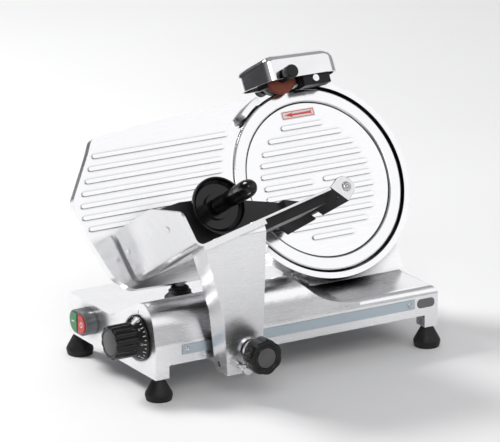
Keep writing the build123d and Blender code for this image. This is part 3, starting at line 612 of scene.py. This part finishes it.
def cover_knob():
    place = axes(Vector(JOINTS["cover_lock_turn"]["pos_m"]), X, -N)
    side = [(4.1, -14), (10, -14), (10, -8), (20, -8), (21, -7), (21, 5), (19.5, 6), (5, 6)]
    turned("cover_knob_moulding", rounded(side, 0.8) + [Vector((0, 6))], place, "cover_lock",
           LOOKS["black_plastic"],
           lambda a, r, z: lobes(7, 0.14, 0.5)(a, r, z) if r > 18 else 1, 252,
           stands_for=["cover_knob"])


def grind_knob():
    """The ridged push knob in front of the grinding stone, on its own shaft."""
    low, high = extent("grind_button", BLADE)
    centre = (low + high) / 2
    place = BLADE @ Matrix.Translation(Vector((centre.x, centre.y, 0)) * MM)
    end = high.z
    side = [(4.0, 5.0), (4.0, 35.0), (9.0, 35.0), (9.0, end - 1), (8.2, end), (1, end)]
    profile = [(0, 3.8), (6.5, 3.8), (6.5, 5.0)] + rounded(side, 0.5) + [(0, end)]

    def ridges(angle, radius, z):
        if radius < 8 or z > end - 0.6:
            return 1
        return 1 - 0.075 * (0.5 + 0.5 * math.cos(16 * angle)) ** 2

    turned("grind_knob", profile, place, "grind_pusher", LOOKS["black_plastic"],
           ridges, 256,
           stands_for=["grind_button"])
    turned("grind_nut", [(5.6, 14.2), (5.6, 15.8), (4.6, 16.4), (4.0, 16.4)], place, "grind_pusher",
           LOOKS["steel_screws"], segments=6)


def pusher_grip():
    """The pusher's handle: a smooth taper with a domed end cap above a fine seam."""
    low, high = extent("pusher_handle", TRAY)
    centre = (low + high) / 2
    place = TRAY @ Matrix.Translation(Vector((centre.x, centre.y, low.z)) * MM)
    end = high.z - low.z
    side = [(9.4, 0.0), (11.0, 6.0), (10.5, 26.0), (11.5, 60.0), (11.2, 63.2), (11.2, 64.2),
            (11.8, 66.0),
            (11.9, 84.0), (10.6, 92.0), (6.4, end - 1.2), (0.8, end)]
    profile = [(4.2, 0.0)] + rounded(side, 4.0, 6) + [(0, end)]
    turned("pusher_grip", profile, place, "pusher", LOOKS["black_gloss"], None,
           128,
           stands_for=["pusher_handle"])


def bracket_face():
    """The bright sheet tab that holds the front end of the pusher's rod."""
    high = extent("rod_bracket", TRAY)[1]
    tab = [(213.1, 0.3), (229, -24.6), (246.6, -13.8), (245.6, -2.2), (237.8, 6.6), (228.2, 7.6)]
    plate("bracket_face", tab, high.z, high.z + BRACKET_SKIN, TRAY, "arm", LOOKS["stainless_sheet"])


# ------------------------------------------------------------ screws and rivets
def strip_screws():
    """Screws of the front strip, the feet and the base plate."""
    strip_low, strip_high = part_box("front_strip")
    feet_low, feet_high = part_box("feet")
    height = (strip_low.z + strip_high.z) / 2
    for i, x in enumerate((strip_low.x + 7.2 * MM, strip_high.x - 7.7 * MM)):
        place = axes(Vector((x, strip_low.y, height)), X, OUT_FRONT)
        screw(f"strip_screw_{i}", 3.6, 1.3, 1.8, 9.0, place, "frame")
    corner = FOOT_INSET * MM
    for i, x in enumerate((feet_low.x + corner, feet_high.x - corner)):
        for j, y in enumerate((feet_low.y + corner, feet_high.y - corner)):
            place = axes(Vector((x, y, 8.9 * MM)), X, Vector((0, 0, -1)))
            screw(f"foot_screw_{i}{j}", 7.0, 3.6, 2.8, 38.0, place, "frame")
    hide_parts("base_screws")


def plate_screws():
    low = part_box("base_housing")[0]
    for i, (x, y) in enumerate(PLATE_SCREWS):
        place = axes(Vector((low.x + x * MM, low.y + y * MM, PLATE_Z * MM)), X, Vector((0, 0, -1)))
        screw(f"plate_screw_{i}", 3.6, 1.8, 1.45, 14.0, place, "frame")


def tray_screws():
    for i, (w, m) in enumerate(TRAY_RIVETS):
        place = TRAY @ Matrix.Translation(Vector((0, m, w)) * MM) @ Matrix.Rotation(-math.pi / 2, 4,
                                                                                    "Y")
        dome = [(0, -3.4), (1.9, -3.4), (1.9, 0), (3.8, 0), (3.6, 0.6), (2.8, 1.15), (1.4, 1.4),
                (0, 1.45)]
        turned(f"tray_rivet_{i}", dome, place, "arm", LOOKS["ground_steel"],
                           None, 40)
    for i, (x, w) in enumerate(TRAY_SCREWS):
        place = TRAY @ Matrix.Translation(Vector((x, 0, w)) * MM) @ Matrix.Rotation(-math.pi / 2, 4,
                                                                                    "X")
        screw(f"tray_screw_{i}", 4.6, 1.4, 2.45, 3.2, place, "arm")
    place = TRAY @ Matrix.Translation(Vector((SLEEVE_PIVOT.x, SLEEVE_PIVOT.y,
                                              BRACKET_W + BRACKET_SKIN)) * MM)
    screw("rod_screw", 6.2, 2.8, 2.4, 3.0, place, "arm")
    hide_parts("tray_fixings")


dial()
index_mark()
switch_marks()
arrow_marks()
arm_knob()
cover_knob()
grind_knob()
pusher_grip()
bracket_face()
strip_screws()
plate_screws()
tray_screws()


# ------------------------------------------------------------ studio
def floor():
    bm = bmesh.new()
    bmesh.ops.create_grid(bm, x_segments=8, y_segments=8, size=12)
    mesh = bpy.data.meshes.new("floor")
    bm.to_mesh(mesh)
    bm.free()
    s = Surface("pale_floor", Roughness=0.6, Specular_IOR_Level=0.2)
    cloud = s.noise(s.coords((1.5, 1.5, 1.5)), 1.0, 3.0)
    s.colour(s.mix(s.spread(cloud, 0, 1), (0.9, 0.9, 0.9), (0.93, 0.93, 0.93)))
    mesh.materials.append(s.material)
    ground_plane = bpy.data.objects.new("floor", mesh)
    bpy.context.scene.collection.objects.link(ground_plane)


def softbox(name, direction, distance, size, radiance, aim=(0, 0, 0.15)):
    """A square area light; its power follows from how bright its face looks."""
    light = bpy.data.lights.new(name, "AREA")
    light.shape = "RECTANGLE"
    light.size, light.size_y = size
    light.energy = radiance * math.pi * size[0] * size[1]
    holder = bpy.data.objects.new(name, light)
    toward = Vector(direction).normalized()
    holder.location = Vector(aim) + toward * distance
    holder.rotation_mode = "QUATERNION"
    holder.rotation_quaternion = toward.to_track_quat("Z", "Y")
    bpy.context.scene.collection.objects.link(holder)


def world():
    """Even pale surroundings, darker behind and to the left."""
    made = bpy.data.worlds.new("studio")
    bpy.context.scene.world = made
    made.use_nodes = True
    tree = made.node_tree
    coords = tree.nodes.new("ShaderNodeTexCoord")
    facing = tree.nodes.new("ShaderNodeVectorMath")
    facing.operation = "DOT_PRODUCT"
    facing.inputs[1].default_value = Vector((-0.62, 0.76, -0.1)).normalized()
    tree.links.new(coords.outputs["Generated"], facing.inputs[0])
    ramp = tree.nodes.new("ShaderNodeValToRGB")
    ramp.color_ramp.elements[0].position = 0.1
    ramp.color_ramp.elements[0].color = (0.42, 0.42, 0.43, 1)
    ramp.color_ramp.elements[1].position = 0.8
    ramp.color_ramp.elements[1].color = (0.05, 0.05, 0.055, 1)
    tree.links.new(facing.outputs["Value"], ramp.inputs["Fac"])
    tree.links.new(ramp.outputs["Color"], tree.nodes["Background"].inputs["Color"])
    tree.nodes["Background"].inputs["Strength"].default_value = 1.0


def camera():
    azimuth, elevation, roll = math.radians(-30.79), math.radians(17.48), math.radians(-0.14)
    distance, target = 5.863, Vector((-0.0675, -0.0798, 0.2180))
    back = Vector((math.sin(azimuth) * math.cos(elevation),
                   -math.cos(azimuth) * math.cos(elevation),
                   math.sin(elevation)))
    data = bpy.data.cameras.new("camera")
    data.sensor_width = 36.0
    data.lens = 332.27
    data.clip_end = 60.0
    holder = bpy.data.objects.new("camera", data)
    holder.rotation_mode = "QUATERNION"
    turn = (-back).to_track_quat("-Z", "Y").to_matrix() @ Matrix.Rotation(roll, 3, "Z")
    holder.rotation_quaternion = turn.to_quaternion()
    holder.location = target + back * distance
    bpy.context.scene.collection.objects.link(holder)
    bpy.context.scene.camera = holder


floor()
world()
softbox("front_right", (0.488, -0.670, 0.520), 3.2, (3.4, 2.3), 0.74)
softbox("back_right", (0.488, 0.819, 0.420), 3.2, (2.6, 1.2), 0.9)
softbox("fill", (-0.35, -0.70, 0.62), 3.0, (1.6, 1.2), 3.2)
softbox("key", (-0.43, 0.60, 0.70), 2.8, (0.9, 0.9), 24.0)
camera()
bpy.context.scene.view_settings.view_transform = "Standard"
